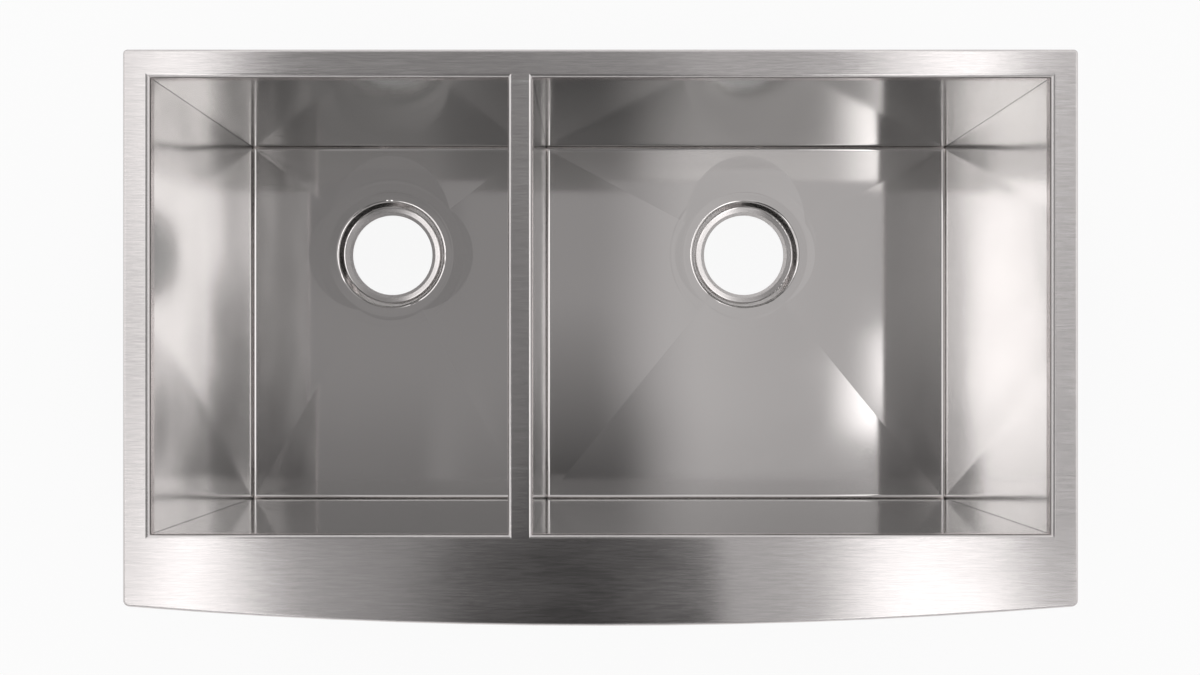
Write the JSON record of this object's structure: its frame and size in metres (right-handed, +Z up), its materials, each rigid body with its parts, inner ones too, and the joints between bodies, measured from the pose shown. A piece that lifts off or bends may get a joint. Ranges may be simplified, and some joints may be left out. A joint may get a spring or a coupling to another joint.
{
  "type": "farmhouse apron front sink",
  "caption": "Stainless apron front kitchen sink with a small and a large square-cornered bowl, bowed front apron, sloped floors and rear-set drain recesses.",
  "frame": {"origin": "centre of the footprint, on the surface the sink stands on", "axes": "+X to the right along the width, +Y to the back, +Z up; the bowed apron faces -Y"},
  "size_m": [0.8382, 0.506, 0.254],
  "materials": {
    "brushed_deck": "brushed along the sink's width",
    "brushed_apron": "brushed along the sink's width",
    "satin_bowl": "fine satin, close to a mirror inside; undercoated outside",
    "weld_metal": "dressed weld bead",
    "rail_steel": "mill",
    "bracket_steel": "mill",
    "rubber_pad": "matt, fine ribs"
  },
  "bodies": {
    "root": {"deck_frame": "brushed_deck", "divider_strip": "brushed_deck", "apron_panel": "brushed_apron", "apron_bottom_rail": "rail_steel", "apron_brackets": "bracket_steel", "apron_damping_pads": "rubber_pad", "divider_spacers": "bracket_steel", "left_floor": "satin_bowl", "left_back_wall": "satin_bowl", "left_front_wall": "satin_bowl", "left_end_wall": "satin_bowl", "left_divider_wall": "satin_bowl", "left_corner_welds": "weld_metal", "left_floor_pads": "rubber_pad", "left_back_pad": "rubber_pad", "left_front_pad": "rubber_pad", "left_end_pad": "rubber_pad", "left_divider_pad": "rubber_pad", "left_hold_down_brackets": "bracket_steel", "right_floor": "satin_bowl", "right_back_wall": "satin_bowl", "right_front_wall": "satin_bowl", "right_end_wall": "satin_bowl", "right_divider_wall": "satin_bowl", "right_corner_welds": "weld_metal", "right_floor_pads": "rubber_pad", "right_back_pad": "rubber_pad", "right_front_pad": "rubber_pad", "right_end_pad": "rubber_pad", "right_divider_pad": "rubber_pad", "right_hold_down_brackets": "bracket_steel"}
  },
  "joints": []
}
